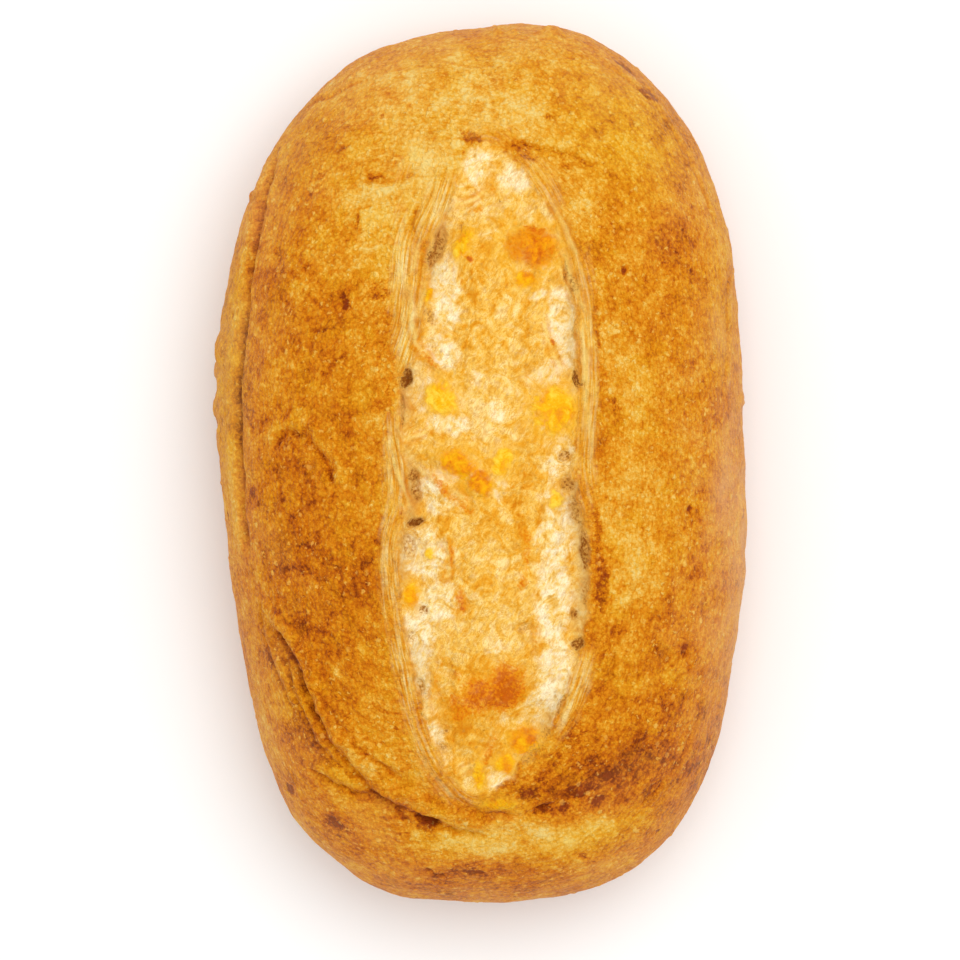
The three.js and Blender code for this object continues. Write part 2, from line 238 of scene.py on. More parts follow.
# Broad places that are baked darker (change above 0) or paler (below 0): x, y, half-width,
# half-length, turn, change
TONES = [
    (-56, 8, 20, 58, 0, 0.04), (-52, -42, 20, 28, 0, 0.19),
    (-33, 80, 15, 24, 0, -0.2), (-14, 104, 22, 12, 0, -0.2), (2, 119, 40, 10, 0, -0.15),
    (46, -22, 9, 26, 0, -0.2), (45, 8, 9, 20, 0, -0.04), (73, -5, 9, 66, 0, 0.03),
    (57, -76, 18, 24, 0, 0.14), (36, -99, 20, 9, 22, 0.3), (-4, -130, 46, 8, 0, -0.02),
    (0, 133, 30, 6, 0, -0.06), (-52, -80, 18, 16, 0, -0.12), (30, -116, 20, 4, 12, -0.2),
    (52, 62, 14, 20, 0, 0.08), (-12, -118, 18, 4, -10, -0.12), (-32, -75, 8, 26, 10, -0.05),
    (20, 105, 26, 6, -12, -0.06), (47, 66, 15, 34, 0, -0.08), (50, -70, 15, 22, 0, -0.05),
    (47, 28, 11, 16, 0, -0.1), (45, 2, 8, 9, 0, 0.12), (23, 106, 16, 7, -15, -0.16),
    (-14, 92, 8, 6, 0, -0.14), (8, 130, 34, 7, 0, -0.1), (-31, 50, 7, 20, 0, -0.11),
    (-31, -12, 5, 9, 0, -0.13), (-31, -52, 5, 9, 0, -0.13), (8, -117, 18, 6, 0, -0.18),
    (-52, -90, 12, 10, -40, 0.15), (-28, -105, 12, 4, -30, 0.22), (0, -132, 46, 6, 0, 0.16),
    (62, -102, 14, 8, 40, 0.12), (68, -65, 7, 16, 0, -0.08), (75, 76, 8, 16, 0, -0.14),
    (60, 54, 7, 8, 0, -0.08), (30, 80, 5, 12, -20, -0.12), (-29, 92, 9, 4, 0, 0.14),
    (-77, 20, 5, 18, 0, 0.1), (-60, -89, 9, 9, 0, 0.14), (-45, -117, 10, 5, -35, 0.12),
    (75, -8, 7, 26, 0, -0.07), (-46, -79, 10, 8, 0, 0.1), (-16, 91, 6, 8, 0, -0.12),
    (0, -117, 9, 5, 0, -0.12), (60, -38, 7, 18, 0, -0.08),
]

# Places where the crust is yellow rather than brown: x, y, half-width, half-length, turn, strength
GOLDS = [
    (48, 106, 24, 18, -30, 0.8), (77, 78, 6, 22, 12, 0.6), (77, 46, 6, 20, 0, 0.6),
    (-80, 30, 5, 42, 0, 0.9), (36, -117, 20, 5, 15, 0.6), (-58, 102, 12, 18, -35, 0.4),
    (-46, -98, 9, 5, -35, 0.5), (0, 128, 30, 6, 0, 0.3), (-62, -72, 6, 14, 20, 0.5),
    (-5, -118, 18, 4, 0, 0.4),
]

# Folds and cracks: path, groove depth, half-width, ridge height, ridge side (1 left of the
# path, -1 right, 0 none), darkness of the painted shade in the groove and of the painted highlight on
# the ridge
FOLDS = [
    ([(-64, 104), (-69, 85), (-73.5, 66), (-76, 48), (-78, 27), (-77.5, 5), (-76.5, -18), (-75, -32)],
     3, 1.5, 1.3, -1, 0.95),
    ([(-73, -48), (-66, -54), (-60, -64), (-56, -74), (-50, -85), (-42, -96), (-34, -104), (-22, -110),
      (-8, -115), (6, -117)], 2.8, 1.4, 2.8, 1, 1),
    ([(-56, -96), (-52, -99), (-43, -103), (-31, -107), (-20, -115)], 1.3, 1.1, 1.6, 1, 0.7),
    ([(-64, -60), (-61, -72), (-54, -86), (-46, -96)], 1.1, 1, 1.1, 1, 0.6),
    ([(-72, -40), (-71, -54), (-66, -68), (-60, -80)], 1, 0.9, 0.9, 1, 0.5),
    ([(38, 128), (52, 117), (62, 104), (70, 88), (74, 74)], 0.8, 0.8, 0.6, 1, 0.35),
    ([(-52, -72), (-44, -84), (-35, -93), (-24, -100)], 0.9, 0.9, 1, 1, 0.5),
    ([(-67, 3.5), (-63.5, 8.6), (-57, 9.2), (-53.5, 5.5), (-48.5, -1), (-47.6, -8)],
     1.7, 1.1, 1.1, 1, 0.9),
    ([(9, 101), (20, 99), (28, 97), (37, 93)], 0.9, 0.7, 0.5, 1, 0.6),
    ([(-38, 90), (-30, 87.5), (-24, 90), (-19, 95)], 0.8, 0.7, 0.5, -1, 0.4),
    ([(43, -56), (42, -67), (46, -77), (52, -84)], 0.5, 0.5, 0.3, 1, 0.45),
    ([(37, -5), (41, -6.5), (46, -7)], 0.4, 0.35, 0, 0, 0.5),
    ([(36, -61.5), (40, -61.2)], 0.4, 0.35, 0, 0, 0.6),
    ([(-19, -127.5), (-15, -129.3), (-12, -129.3)], 1.4, 0.6, 0.3, 1, 1),
    ([(-20, -89), (-16, -97), (-9, -104), (2, -110), (16, -109), (28, -103)], 1, 0.9, 0.5, -1, 0.35),
    ([(80, 64), (78, 52), (79, 38), (77, 20)], 0.9, 0.9, 0.5, 1, 0.4),
    ([(72, -70), (68, -84), (60, -98), (48, -110)], 0.7, 0.8, 0.4, 1, 0.3),
    ([(33, 60), (36, 44), (37, 28), (37.5, 8)], 0.5, 0.9, 0.3, 1, 0.25),
    ([(-60, 112), (-48, 118), (-36, 123)], 0.6, 0.8, 0.4, 1, 0.3),
]

# Bumps that stand out on the rim and crust: x, y, half-width, half-length, turn, height
BUMPS = [
    (22, 136.5, 3.4, 2, 0, 2), (5, 137.5, 1.5, 1, 0, 1.2), (10, 137.2, 1.2, 1, 0, 1),
    (-82, 37, 2.5, 3.5, 0, 1.6), (-83.5, 30, 2, 3, 0, 1.5), (-84, 18, 2, 3.5, 0, 1.7),
    (-83, 8, 2, 3, 0, 0.8), (-72, 85, 1.2, 1.6, 0, 1), (84, 21, 1.5, 2.5, 0, 1),
    (83, -15, 1.5, 2.5, 0, 1), (83, -34, 2, 5, 0, 0.9), (-43, -47, 1.6, 1.6, 0, 0.5),
    (-43, -65, 1.4, 1.4, 0, 0.5), (-40, -77, 1.2, 1.4, 0, 0.5), (-20, 118, 1.4, 1, 0, 0.4),
    (-55, 12.5, 1.6, 1.2, 0, 0.5), (72, 44, 1.6, 2.2, 0, 0.5), (-51, -86, 4, 8, 40, 0.9),
    (60, -20, 6, 12, 0, 0.5), (-30, -54, 4, 10, 0, 0.4), (57, 84, 5, 9, 20, 0.5),
]

# Painted places that only the sides show: how many, and the height that they stay under
SIDE_SPOTS = 34
SIDE_SPOT_TOP = 52

RANDOM_SEED = 11
FAR = 60.0  # stands for the distance of everything well away from the slash
WARP_SIZE = 5.0  # size of the noise that makes the edges of patches ragged
WARP = 0.9
WARP_REACH = 3.0  # the most that the noise moves the edge of a patch
LEDGE_ANGLE = 163  # degrees round the plan, where the left side bulges most
LEDGE_SPREAD = 36  # degrees
LEDGE_HEIGHT = 41
LEDGE_HALF_HEIGHT = 12
LEDGE_BULGE = 2.4
SLASH_REACH = (62, 130)  # half the width and length of the part that the slash affects
SLASH_MIDDLE = -2
SLASH_HALF = 104  # half the slash's length
SLASH_TAPER = 28  # length over which each end of the slash deepens
EDGE_RAGGEDNESS = 0.5
ISLAND_RAGGEDNESS = 3.6
TROUGH_DEPTH = 2.6
TORN_WALL_DEPTH = 1.9  # added to the trough's depth under a torn wall
ISLAND_CLIMB = 1.4  # taken off the trough's depth towards the island
ISLAND_CROWN = 1.5
LIP_OVERHANG = 0.5  # how far the lips lean in over the slash
PIT_SHARE = 0.6  # how much of a pit's listed depth is cut
BAKE_LEVEL = 0.5  # 0 is pale crust and 1 dark brown

# The unrolled skin and the foot side by side on the flat map: middle and scale of each
SKIN_MAP_MIDDLE = (0.375, 0.5)
SKIN_MAP_SCALE = (0.36, 0.48)
FOOT_MAP_MIDDLE = (0.87, 0.5)
FOOT_MAP_SCALE = (0.29, 0.46)

# Floor, camera and light
FLOOR_SIZE = 6.0
FRAME_OVER_LOAF = 12 / 11  # the frame's height over the loaf's length
CAMERA_AWAY = 2.2  # metres, far enough that the loaf's top is hardly enlarged
CAMERA_DOWN = 0.0054  # metres that the frame's middle lies below the loaf's
SENSOR_WIDTH = 36.0
SKY_STRENGTH = 0.92
LIGHT_PLACE = (0.3, 0.4, 1.6)  # metres
LIGHT_SIZE = 1.3
LIGHT_POWER = 10


# ---------------------------------------------------------------- shared maths

def smooth_step(start, end, value):
    """Smoothly from 0 at the start to 1 at the end, and flat beyond them."""
    share = np.clip((value - start) / (end - start), 0, 1)
    return share * share * (3 - 2 * share)


def bell(distance, spread):
    """1 at no distance, falling off smoothly on both sides."""
    return np.exp(-((distance / spread) ** 2))


def spline(corners, closed, steps=6):
    """Points along a smooth curve through the corners."""
    corners = np.asarray(corners, dtype=float)
    if closed:
        padded = np.vstack([corners[-1:], corners, corners[:2]])
    else:
        padded = np.vstack([2 * corners[0] - corners[1], corners, 2 * corners[-1] - corners[-2]])
    before, start, end, after = padded[:-3], padded[1:-2], padded[2:-1], padded[3:]
    pieces = []
    for share in np.arange(steps) / steps:
        pieces.append(0.5 * (
            2 * start
            + (end - before) * share
            + (2 * before - 5 * start + 4 * end - after) * share ** 2
            + (3 * start - before - 3 * end + after) * share ** 3
        ))
    curve = np.stack(pieces, axis=1).reshape(-1, corners.shape[1])
    return curve if closed else np.vstack([curve, corners[-1:]])


class Noise:
    """Smooth seeded noise in space, about -1 to 1, and scattered cells.

    Adding a number to the places gives noise that has nothing to do with the first.
    """

    def __init__(self, seed):
        rng = np.random.default_rng(seed)
        self.order = np.tile(rng.permutation(256), 3).astype(np.int32)
        gradients = rng.normal(size=(256, 3))
        gradients /= np.linalg.norm(gradients, axis=1, keepdims=True)
        self.gradients = gradients.T.astype(np.float32)
        self.jitter = rng.random((4, 256)).astype(np.float32)

    def neighbours(self, cell):
        """The eight lattice corners from a cell on: step to each, and its number."""
        for i in (0, 1):
            in_x = self.order[(cell[0] & 255) + i]
            for j in (0, 1):
                in_y = self.order[in_x + (cell[1] & 255) + j]
                for k in (0, 1):
                    yield (i, j, k), self.order[in_y + (cell[2] & 255) + k]

    def smooth(self, points):
        """One layer of noise with features about one unit wide."""
        places = np.asarray(points, dtype=np.float32).T
        cell = np.floor(places).astype(np.int32)
        inside = places - cell
        blend = inside ** 3 * (inside * (inside * 6 - 15) + 10)
        total = np.zeros(len(points), dtype=np.float32)
        for step, number in self.neighbours(cell):
            value = np.float32(0)
            weight = np.float32(1)
            for axis in range(3):
                value = value + self.gradients[axis][number] * (inside[axis] - step[axis])
                weight = weight * (blend[axis] if step[axis] else 1 - blend[axis])
            total += weight * value
        return total * 1.6

    def layered(self, points, size, octaves=3, roughness=0.5):
        """Layers of noise, each half the size of the last and weaker than it."""
        total = np.zeros(len(points))
        strength = 1.0
        for octave in range(octaves):
            total += strength * self.smooth(points * (2 ** octave / size) + 17.3 * octave)
            strength *= roughness
        return total

    def cells(self, points, size):
        """Distance to the nearest scattered point where under half a cell, and its own number."""
        places = np.asarray(points / size, dtype=np.float32).T
        cell = np.floor(places - 0.5).astype(np.int32)
        nearest = np.full(len(points), 9.0, dtype=np.float32)
        chance = np.zeros(len(points), dtype=np.float32)
        for step, number in self.neighbours(cell):
            square = sum(
                (cell[axis] + step[axis] + self.jitter[axis][number] - places[axis]) ** 2
                for axis in range(3)
            )
            chance = np.where(square < nearest, self.jitter[3][number], chance)
            nearest = np.minimum(nearest, square)
        return np.sqrt(nearest), chance


NOISE = Noise(RANDOM_SEED)


# ---------------------------------------------------------------- body

def plan_radius(angle):
    """Radius of the plan, as a share of the ellipse through its four extremes."""
    square = np.abs(np.cos(angle)) ** PLAN_POWER + np.abs(np.sin(angle)) ** PLAN_POWER
    radius = square ** (-1 / PLAN_POWER)
    for at, spread, share in PLAN_SWELLS:
        apart = np.abs((np.degrees(angle) - at + 180) % 360 - 180)
        radius = radius + share * bell(apart, spread)
    return radius


def body_outline(share):
    """Distance out and height of the body, for a share of the way from crown to foot edge."""
    above = np.clip(share / WAIST_AT, 0, 1) * math.pi / 2
    below = np.clip((share - WAIST_AT) / (1 - WAIST_AT), 0, 1) * math.pi / 2
    power = 2 / DOME_POWER
    dome_out = np.sin(above) ** power
    dome_height = WAIST_HEIGHT + (HEIGHT - WAIST_HEIGHT) * np.maximum(np.cos(above), 0) ** power
    tuck_out = FOOT_RATIO + (1 - FOOT_RATIO) * np.cos(below)
    tuck_height = WAIST_HEIGHT * (1 - np.sin(below))
    upper = share <= WAIST_AT
    return np.where(upper, dome_out, tuck_out), np.where(upper, dome_height, tuck_height)


def dome_height(x, y):
    """Height of the plain dome over a place in the plan."""
    angle = np.arctan2(y / HALF_LENGTH, x / HALF_WIDTH)
    out = np.hypot(x / HALF_WIDTH, y / HALF_LENGTH) / plan_radius(angle)
    rise = np.maximum(1 - np.minimum(out, 1) ** DOME_POWER, 0) ** (1 / DOME_POWER)
    return WAIST_HEIGHT + (HEIGHT - WAIST_HEIGHT) * rise


def disc_grid(cells_across, cells_along):
    """A square grid bent onto a disc: distance from the middle and angle, row by row."""
    across, along = np.meshgrid(
        np.linspace(-1, 1, cells_across + 1), np.linspace(-1, 1, cells_along + 1)
    )
    disc_x = across * np.sqrt(1 - along ** 2 / 2)
    disc_y = along * np.sqrt(1 - across ** 2 / 2)
    return np.minimum(np.hypot(disc_x, disc_y), 1), np.arctan2(disc_y, disc_x)


def grid_normals(points, rows, columns):
    """Directions straight out of a grid of points."""
    grid = points.reshape(rows, columns, 3)
    normal = np.cross(np.gradient(grid, axis=1), np.gradient(grid, axis=0)).reshape(-1, 3)
    length = np.linalg.norm(normal, axis=1, keepdims=True)
    return normal / np.maximum(length, 1e-9)


def arc_from_crown(share):
    """Length over the surface from the crown, in millimetres, for a body of middling radius."""
    shares = np.linspace(0, 1, 400)
    out, height = body_outline(shares ** CENTRE_DENSITY)
    steps = np.hypot(np.diff(out) * 0.5 * (HALF_WIDTH + HALF_LENGTH), np.diff(height))
    return np.interp(share, shares, np.concatenate([[0], np.cumsum(steps)]))


def make_skin():
    """The plain body as a grid, with room for what the features add to it."""
    share, angle = disc_grid(CELLS_ACROSS, CELLS_ALONG)
    share, angle = share.ravel(), angle.ravel()
    out, height = body_outline(share ** CENTRE_DENSITY)
    radius = out * plan_radius(angle)
    points = np.column_stack([
        HALF_WIDTH * radius * np.cos(angle),
        HALF_LENGTH * radius * np.sin(angle),
        height,
    ])
    skin = SimpleNamespace(
        angle=angle,
        arc=arc_from_crown(share),
        rest=points,
        points=points.copy(),
        relief=np.zeros(len(points)),
        masks={},
    )
    warp = [NOISE.layered(points + shift, WARP_SIZE, 3, 0.6) for shift in (0.0, 200.0)]
    skin.x = points[:, 0] + WARP * warp[0]
    skin.y = points[:, 1] + WARP * warp[1]
    skin.z = points[:, 2]
    skin.patchy = NOISE.layered(points + 340, WARP_SIZE, 3)
    return skin


# ---------------------------------------------------------------- features

def near(skin, x, y, reach):
    """Numbers of the points within a square round a place in the plan."""
    return np.flatnonzero((np.abs(skin.rest[:, 0] - x) < reach) & (np.abs(skin.rest[:, 1] - y) < reach))


def patches(skin, places, soft, grow=1.0):
    """For each listed oval on the crust: the points near it, 1 on it to 0 off it, its own values."""
    for x, y, half_width, half_length, turn, *values in places:
        where = near(skin, x, y, grow * (1 + soft) * max(half_width, half_length) + WARP_REACH)
        across_x, along_x = math.cos(math.radians(turn)), math.sin(math.radians(turn))
        offset_x, offset_y = skin.x[where] - x, skin.y[where] - y
        across = (offset_x * across_x + offset_y * along_x) / half_width
        along = (offset_y * across_x - offset_x * along_x) / half_length
        level = (skin.z[where] - dome_height(x, y)) / (half_width + half_length)
        reach = np.sqrt(across ** 2 + along ** 2 + level ** 2) / grow
        yield where, smooth_step(1 + soft, 1 - soft, reach), values


def raise_to(mask, where, values):
    """Lifts a mask to the values at some points, where it is lower."""
    mask[where] = np.maximum(mask[where], values)


def strongest(skin, places, soft):
    """One mask from a list of ovals whose last value is their strength."""
    mask = np.zeros(len(skin.x))
    for where, patch, (strength,) in patches(skin, places, soft):
        raise_to(mask, where, strength * patch)
    return mask


def nearest_segment(starts, ends, places):
    """Distance to the nearest of some segments, that one's number, and the share along it."""
    nearest = np.full(places.shape[1], np.inf)
    number = np.zeros(places.shape[1], dtype=int)
    along = np.zeros(places.shape[1])
    for i, (start, end) in enumerate(zip(starts, ends)):
        step = end - start
        offset = places - start[:, None]
        share = np.clip(step @ offset / (step @ step), 0, 1)
        away = np.sqrt(np.sum((offset - step[:, None] * share) ** 2, axis=0))
        closer = away < nearest
        nearest[closer] = away[closer]
        number[closer] = i
        along[closer] = share[closer]
    return nearest, number, along


def edge_distance(x, y, corners):
    """Distance from a closed edge, negative inside, the way out of it, and length along it."""
    curve = spline(corners, closed=True)
    following = np.roll(curve, -1, axis=0)
    step_x, step_y = (following - curve).T
    lengths = np.hypot(step_x, step_y)
    travelled = np.cumsum(lengths) - lengths
    nearest, number, share = nearest_segment(curve, following, np.stack([x, y]))
    along = travelled[number] + share * lengths[number]

    inside = np.zeros(len(x), dtype=bool)
    for start, end in zip(curve, following):
        if start[1] != end[1]:
            crossing = (start[1] > y) != (end[1] > y)
            level_x = start[0] + (y - start[1]) * (end[0] - start[0]) / (end[1] - start[1])
            inside ^= crossing & (x < level_x)
    area = np.sum(curve[:, 0] * following[:, 1] - following[:, 0] * curve[:, 1])
    outward = -np.sign(area) / lengths[number]
    signed = np.where(inside, -nearest, nearest)
    return signed, -step_y[number] * outward, step_x[number] * outward, along


def path_distance(skin, corners, margin, wave=1.0):
    """Points near an open path on the crust: distance in space, side, share of the way along."""
    curve = spline(corners, closed=False)
    curve = np.column_stack([curve, dome_height(curve[:, 0], curve[:, 1])])
    low, high = curve.min(axis=0) - margin, curve.max(axis=0) + margin
    where = np.flatnonzero(np.all((skin.rest > low) & (skin.rest < high), axis=1))
    warped = np.stack([skin.x[where], skin.y[where], skin.z[where]])
    places = wave * warped + (1 - wave) * skin.rest[where].T
    nearest, number, share = nearest_segment(curve[:-1], curve[1:], places)
    step = (curve[number + 1] - curve[number]).T
    offset = places - curve[number].T
    side = np.sign(step[0] * offset[1] - step[1] * offset[0])
    return where, nearest, side, (number + share) / (len(curve) - 1)


def shape_swells(skin):
    """Broad lumps and hollows left by shaping and oven spring."""
    skin.relief += 1.1 * NOISE.layered(skin.rest, 46, 2)
    skin.relief += 0.45 * NOISE.layered(skin.rest + 50, 14, 2)
    for where, patch, (height,) in patches(skin, BUMPS, soft=0.8):
        skin.relief[where] += height * patch


def shape_ledge(skin):
    """The left side bulges out, low down, under its fold."""
    angle = np.degrees(np.arctan2(skin.rest[:, 1] / HALF_LENGTH, skin.rest[:, 0] / HALF_WIDTH))
    apart = np.abs((angle - LEDGE_ANGLE + 180) % 360 - 180)
    bulge = bell(apart, LEDGE_SPREAD) * bell(skin.z - LEDGE_HEIGHT, LEDGE_HALF_HEIGHT)
    skin.relief += LEDGE_BULGE * bulge


def shape_folds(skin):
    """Creases with painted shade in the groove, a soft ridge along one side with a painted highlight,
    and fine cracks.
    """
    dark, pale = np.zeros(len(skin.x)), np.zeros(len(skin.x))
    for path, depth, half_width, ridge, ridge_side, darkness in FOLDS:
        where, distance, side, share = path_distance(skin, path, 9 * half_width)
        taper = smooth_step(0, 0.12, share) * smooth_step(1, 0.88, share)
        taper = taper * (0.7 + 0.5 * skin.patchy[where])
        groove = bell(distance, half_width) * taper
        on_ridge = bell(distance - 3.2 * half_width, 2.2 * half_width) * taper
        on_ridge = on_ridge * smooth_step(-0.5, 0.5, side * ridge_side) * (ridge > 0)
        skin.relief[where] += ridge * on_ridge - depth * groove
        # Painted shade in the groove and a painted highlight on the lit ridge
        raise_to(dark, where, darkness * groove)
        raise_to(pale, where, darkness * on_ridge)
    skin.masks["crease"] = dark
    skin.masks["ridge"] = pale


def shape_bands(skin):
    """Raised bands, each with a browned line at its foot that is partly painted shade."""
    band, seam = np.zeros(len(skin.x)), np.zeros(len(skin.x))
    for path, height, half_width in BANDS:
        where, distance, _, share = path_distance(skin, path, 6 * half_width, wave=0.55)
        taper = smooth_step(0, 0.3, share) * smooth_step(1, 0.7, share)
        taper = taper * smooth_step(-0.9, 0.5, skin.patchy[where])
        ridge = bell(distance, half_width) * taper
        foot = bell(distance - 1.7 * half_width, 0.8 * half_width) * taper
        skin.relief[where] += 0.42 * height * (ridge - 0.3 * foot)
        shown = smooth_step(0.1, 0.7, height)
        raise_to(band, where, shown * ridge)
        # Browned line at the band's foot: partly a browned seam, partly painted shade
        raise_to(seam, where, shown * foot)
    skin.masks["band"] = band
    skin.masks["seam"] = seam


def spread(skin, where, values, elsewhere=0.0):
    """Values for some of the points, and one value for all the others."""
    whole = np.full(len(skin.x), elsewhere)
    whole[where] = values
    return whole


def find_slash(skin):
    """Where each point lies by the slash's edge, torn and smooth, and by the island's edge."""
    in_plan = np.all(np.abs(skin.rest[:, :2]) < SLASH_REACH, axis=1)
    where = np.flatnonzero(in_plan & (skin.z > WAIST_HEIGHT))
    edge, *others = edge_distance(skin.x[where], skin.y[where], SLASH_EDGE)
    island = edge_distance(skin.x[where], skin.y[where], ISLAND_EDGE)[0]
    taut = edge_distance(skin.rest[where, 0], skin.rest[where, 1], SLASH_EDGE)[0]
    ragged = NOISE.layered(skin.rest[where] + 90, WARP_SIZE, 4, 0.65)
    skin.ragged = spread(skin, where, ragged)
    skin.edge = spread(skin, where, edge + EDGE_RAGGEDNESS * ragged, FAR)
    skin.island = spread(skin, where, island + ISLAND_RAGGEDNESS * ragged, FAR)
    skin.taut = spread(skin, where, taut, FAR)
    skin.out_x, skin.out_y, skin.along = (spread(skin, where, values) for values in others)


def shape_slash(skin):
    """Raised lips, a torn trough inside them and a gently domed island of thin crust."""
    lips = strongest(skin, LIPS, soft=0.6)
    torn_wall = strongest(skin, WALLS, soft=0.6)
    in_slash = smooth_step(1.0, -1.6, skin.edge + 0.9 * skin.patchy)
    off_island = np.maximum(skin.island, 0)
    depth_in = np.maximum(-skin.edge, 0)
    climb = depth_in / (depth_in + off_island + 0.01)
    wall = smooth_step(-0.6, 7.0 - 3.4 * torn_wall, -skin.edge)
    from_middle = np.abs(skin.rest[:, 1] - SLASH_MIDDLE)
    shallow_end = 0.2 + 0.8 * smooth_step(SLASH_HALF, SLASH_HALF - SLASH_TAPER, from_middle)
    skin.relief += (0.5 + 1.0 * lips) * bell(skin.edge, np.where(skin.edge > 0, 8.0, 3.5))
    depth = (TROUGH_DEPTH + TORN_WALL_DEPTH * torn_wall) * wall
    depth -= ISLAND_CLIMB * smooth_step(0.25, 1.0, climb)
    skin.relief -= shallow_end * depth * in_slash
    skin.relief += ISLAND_CROWN * smooth_step(0, 9, -skin.island) * in_slash
    cream = strongest(skin, CREAM, soft=0.7)
    skin.masks["crumb"] = in_slash * smooth_step(0.2, 0.75, cream + 0.3 * skin.ragged)
    skin.masks["island"] = in_slash
    # Painted shade on the torn walls just inside the slash's edge
    skin.masks["wall"] = bell(skin.edge + 2.6, 2.2) * torn_wall * in_slash

    drawn_out = np.column_stack([skin.taut / 1.1, skin.along / 18, np.full_like(skin.along, 5)])
    streak = NOISE.smooth(drawn_out)
    lips = lips * smooth_step(-3.4, 0.8, skin.edge + 1.4 * skin.patchy)
    skin.relief += 0.2 * streak * lips
    skin.masks["streak"] = streak
    skin.masks["lip"] = lips
    skin.masks["edge"] = skin.taut
    skin.masks["along"] = skin.along


def shape_bits(skin):
    """Pits with painted shade, stained crust, cheese with its halo, scorched bubbles and browned spots.
    """
    masks = skin.masks
    for name in ("pit_shade", "stain", "halo", "cheese", "cheese_tint", "scorch", "spot"):
        masks[name] = np.zeros(len(skin.x))
    for where, patch, (depth, darkness) in patches(skin, PITS, soft=0.4):
        skin.relief[where] -= PIT_SHARE * depth * patch
        # Painted shade in the pit, as dark as its darkness
        raise_to(masks["pit_shade"], where, darkness * patch)
    for where, patch, (change,) in patches(skin, STAINS, soft=0.8):
        masks["stain"][where] += change * patch
    for where, patch, _ in patches(skin, CHEESE, soft=0.7, grow=1.5):
        raise_to(masks["halo"], where, patch)
    for where, patch, (height, orange) in patches(skin, CHEESE, soft=0.5):
        skin.relief[where] += height * patch * (1 + 0.25 * skin.patchy[where])
        masks["cheese_tint"][where[patch > masks["cheese"][where]]] = orange
        raise_to(masks["cheese"], where, patch)
    for where, patch, (height, strength) in patches(skin, SCORCHES, soft=0.6):
        skin.relief[where] += height * patch
        raise_to(masks["scorch"], where, strength * patch)
    for where, patch, (strength,) in patches(skin, SPOTS, soft=0.7):
        skin.relief[where] -= 0.5 * strength * patch * (1 + skin.patchy[where])
        raise_to(masks["spot"], where, strength * patch)


def spot_the_sides(skin):
    """Browned spots on the sides, which the top view hides."""
    rng = np.random.default_rng(RANDOM_SEED + 1)
    low = np.flatnonzero((skin.z < SIDE_SPOT_TOP) & (skin.z > 6))
    for place in skin.rest[rng.choice(low, SIDE_SPOTS)]:
        reach = rng.uniform(1.0, 2.6)
        stretch = rng.uniform(0.4, 1.0)
        strength = rng.uniform(0.3, 0.9)
        where = near(skin, place[0], place[1], 3 * reach)
        away = skin.rest[where] - place
        distance = np.sqrt(away[:, 0] ** 2 + away[:, 1] ** 2 + (away[:, 2] / stretch) ** 2)
        patch = smooth_step(reach * 1.4, reach * 0.5, distance + NOISE.smooth(away / 2.5))
        skin.relief[where] -= 0.35 * patch
        raise_to(skin.masks["spot"], where, strength * patch)


def tone_crust(skin):
    """How far each place is baked, where it is golden, and the steep sides' pale pinkish tone, partly
    their paler bake and partly painted sheen.
    """
    bake = BAKE_LEVEL + 0.12 * NOISE.layered(skin.rest + 300, 24, 3) + 0.10 * skin.patchy
    for where, patch, (change,) in patches(skin, TONES, soft=0.7):
        bake[where] += change * patch
    bake += 0.16 * bell(skin.z - 5, 7) - 0.06 * bell(skin.z - 20, 11)
    skin.masks["bake"] = bake
    # Pale pinkish tone on the steep sides, strongest on the right: partly a paler bake, partly painted
    # sheen
    drift = NOISE.layered(skin.rest + 700, 22, 3, 0.6)
    along = skin.rest[:, 1] + 20 * drift
    height = skin.z + 4 * skin.patchy + 10 * drift
    right = smooth_step(40, 75, skin.x) * smooth_step(50, -14, along) * smooth_step(-104, -30, along)
    side = smooth_step(76, 46 - 8 * (1 - right), height) * smooth_step(2, 34, height)
    skin.masks["side"] = side * (0.2 + 0.38 * right) * (0.9 + 0.3 * skin.patchy)
    skin.masks["gold"] = strongest(skin, GOLDS, soft=0.7)


def roughen(skin, rows, columns):
    """Blisters and wrinkles on the crust, pores and torn strands in the slash."""
    inside = skin.masks["island"]
    crumb = skin.masks["crumb"]
    round_loaf = np.column_stack([skin.arc, skin.rest[:, 0] * 0.32, skin.rest[:, 1] * 0.32])
    wrinkle = NOISE.layered(round_loaf + 400, 2.0, 3, 0.6)
    distance, chance = NOISE.cells(skin.rest, 4.6)
    blister = smooth_step(0.26, 0.12, distance + 0.05 * wrinkle) * (chance > 0.6)
    blister = blister * (1 - inside) * (1 - skin.masks["lip"])
    fine = 0.22 * wrinkle * (1 - inside) + 0.3 * blister
    skin.masks["blister"] = blister
    skin.masks["arc"] = skin.arc

    where = np.flatnonzero(inside > 0.01)
    places = skin.rest[where]
    slanted = places @ np.array([[0.9, 0.4, 0], [-0.5, 0.7, 0], [0, 0, 1.0]])
    swirl = 2.0 * np.column_stack([NOISE.layered(places + 60 * i, 8, 2) for i in (1, 2, 3)])
    fibre = NOISE.layered(slanted + swirl, 4.5, 3, 0.55)
    pore_distance, pore_chance = NOISE.cells(slanted, 2.2)
    pore = smooth_step(0.30, 0.10, pore_distance) * (pore_chance > 0.55)
    torn = 0.2 * fibre + 0.3 * NOISE.layered(places + 70, 6, 2) - 0.2 * bell(fibre, 0.07)
    torn -= (0.1 + 0.35 * crumb[where]) * pore
    fine[where] += inside[where] * torn
    skin.masks["fibre"] = spread(skin, where, inside[where] * bell(fibre, 0.08))
    skin.masks["pore"] = spread(skin, where, inside[where] * pore)
    fine *= smooth_step(0, 5, skin.z)
    skin.points += grid_normals(skin.points, rows, columns) * fine[:, None]


